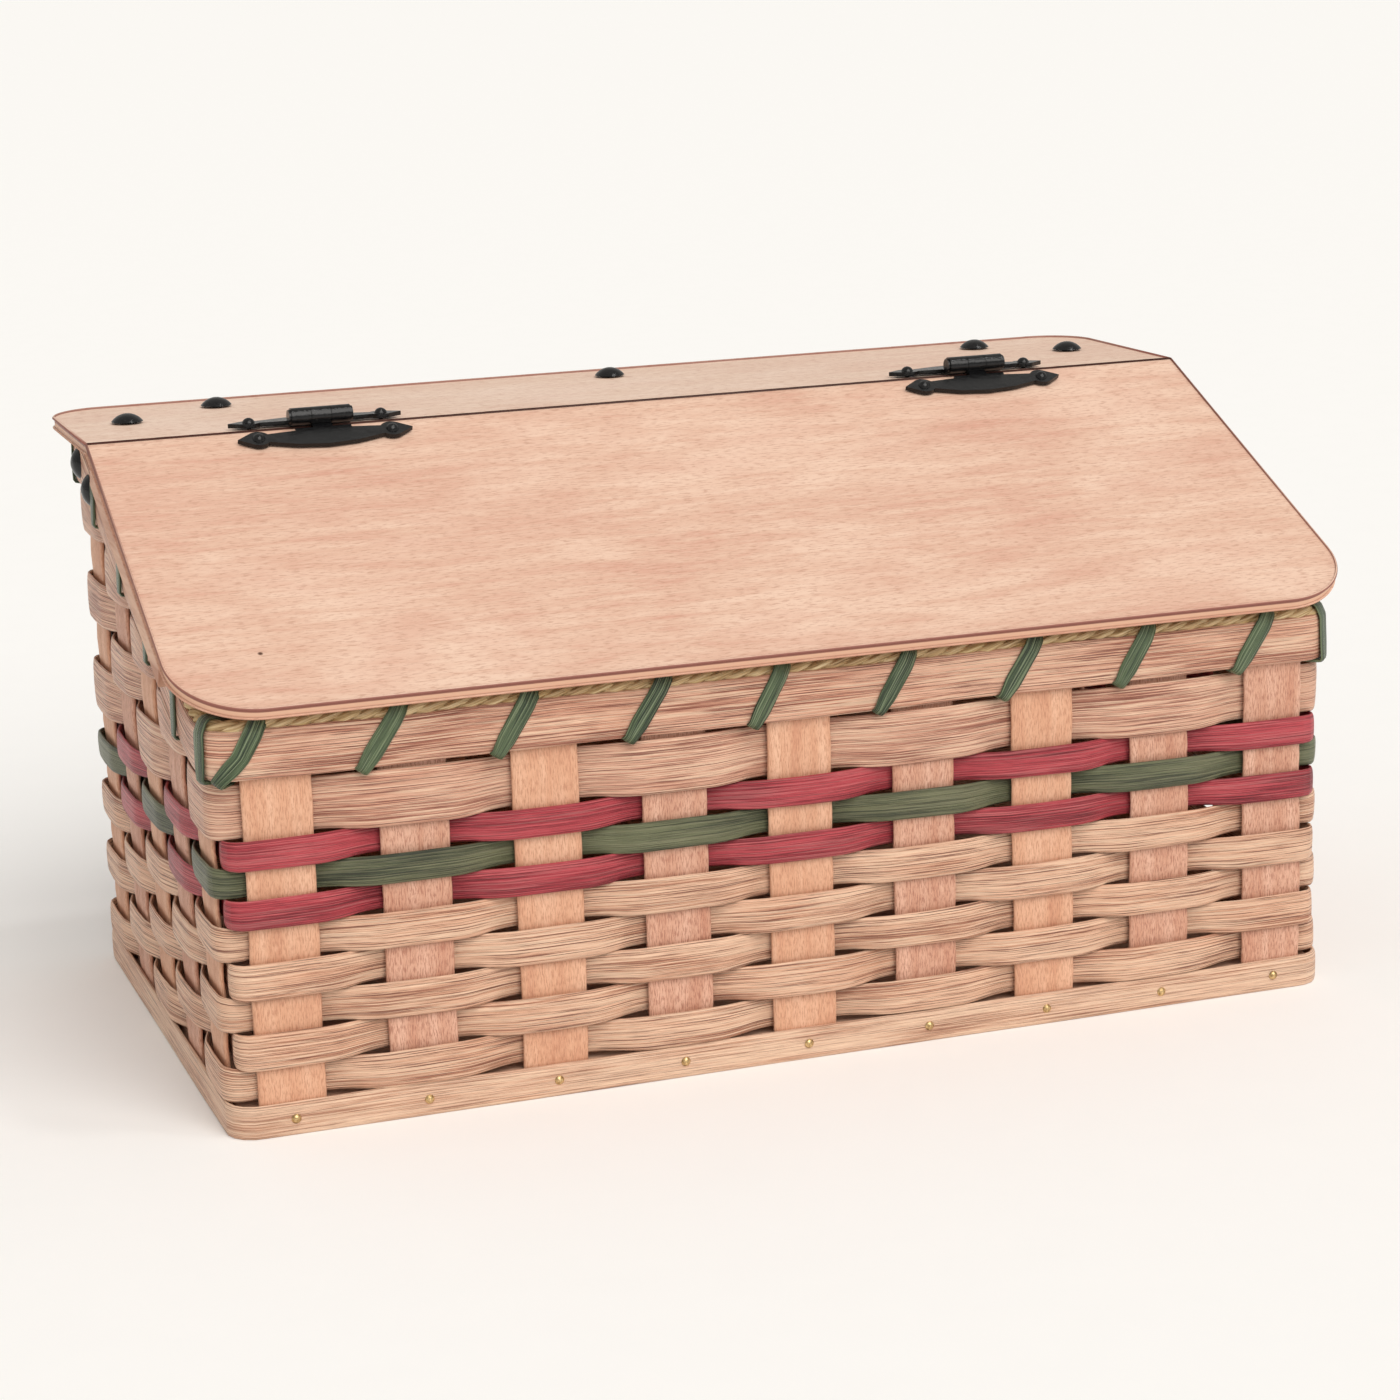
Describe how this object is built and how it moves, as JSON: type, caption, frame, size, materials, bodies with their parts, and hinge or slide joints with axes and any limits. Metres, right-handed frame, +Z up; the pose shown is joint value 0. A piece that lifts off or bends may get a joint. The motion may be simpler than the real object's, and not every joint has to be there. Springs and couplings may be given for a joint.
{
  "type": "woven splint basket with hinged lid",
  "caption": "Rectangular woven splint storage basket with a raised back, a fixed wooden back plank and a sloping wooden lid on two strap hinges.",
  "frame": {"origin": "centre of the underside of the base band", "axes": "+Z up, -Y towards the front where the lid slopes down, +X along the length"},
  "size_m": [0.44, 0.2488, 0.2276],
  "materials": {
    "natural_splint": "semi-gloss lacquered reed",
    "wide_splint": "semi-gloss lacquered reed",
    "upright_splint": "semi-gloss lacquered splint",
    "red_splint": "satin dyed splint",
    "green_splint": "satin dyed splint",
    "rim_splint": "semi-gloss lacquered splint",
    "lashing": "glossy dyed splint",
    "seagrass": "twisted seagrass cord",
    "lid_wood": "satin lacquered board",
    "bare_board": "plain sanded board",
    "black_iron": "satin black",
    "brass_tack": "dull brass"
  },
  "bodies": {
    "basket": {"back_cleat": "bare_board", "back_plank": "lid_wood", "back_uprights": "upright_splint", "base_band": "natural_splint", "base_board": "bare_board", "base_tacks": "brass_tack", "dome_screws": "black_iron", "front_upright_1": "upright_splint", "front_upright_2": "upright_splint", "front_upright_3": "upright_splint", "front_upright_4": "upright_splint", "front_upright_5": "upright_splint", "front_upright_6": "upright_splint", "front_upright_7": "upright_splint", "front_upright_8": "upright_splint", "front_upright_9": "upright_splint", "hinge_pins": "black_iron", "left_cleat": "bare_board", "left_plank_leaf": "black_iron", "left_upright_1": "upright_splint", "left_upright_2": "upright_splint", "left_upright_3": "upright_splint", "left_upright_4": "upright_splint", "left_upright_5": "upright_splint", "plank_leaf_nails": "black_iron", "right_cleat": "bare_board", "right_plank_leaf": "black_iron", "right_upright_1": "upright_splint", "right_upright_2": "upright_splint", "right_upright_3": "upright_splint", "right_upright_4": "upright_splint", "right_upright_5": "upright_splint", "rim_filler": "seagrass", "rim_inner": "rim_splint", "rim_lashing": "lashing", "rim_outer": "rim_splint", "weaver_row_1": "natural_splint", "weaver_row_10": "wide_splint", "weaver_row_11": "wide_splint", "weaver_row_12": "wide_splint", "weaver_row_13": "wide_splint", "weaver_row_2": "natural_splint", "weaver_row_3": "natural_splint", "weaver_row_4": "natural_splint", "weaver_row_5": "natural_splint", "weaver_row_6": "red_splint", "weaver_row_7": "green_splint", "weaver_row_8": "red_splint", "weaver_row_9": "wide_splint"},
    "lid": {"left_batten": "bare_board", "left_lid_leaf": "black_iron", "lid_board": "lid_wood", "lid_leaf_nails": "black_iron", "right_batten": "bare_board", "right_lid_leaf": "black_iron"}
  },
  "joints": [
    {"name": "lid_hinge", "type": "hinge", "parent": "basket", "child": "lid", "pos_m": [0, 0.0265, 0.22435], "axis": [-1, 0, 0], "range_deg": [0, 200]}
  ]
}
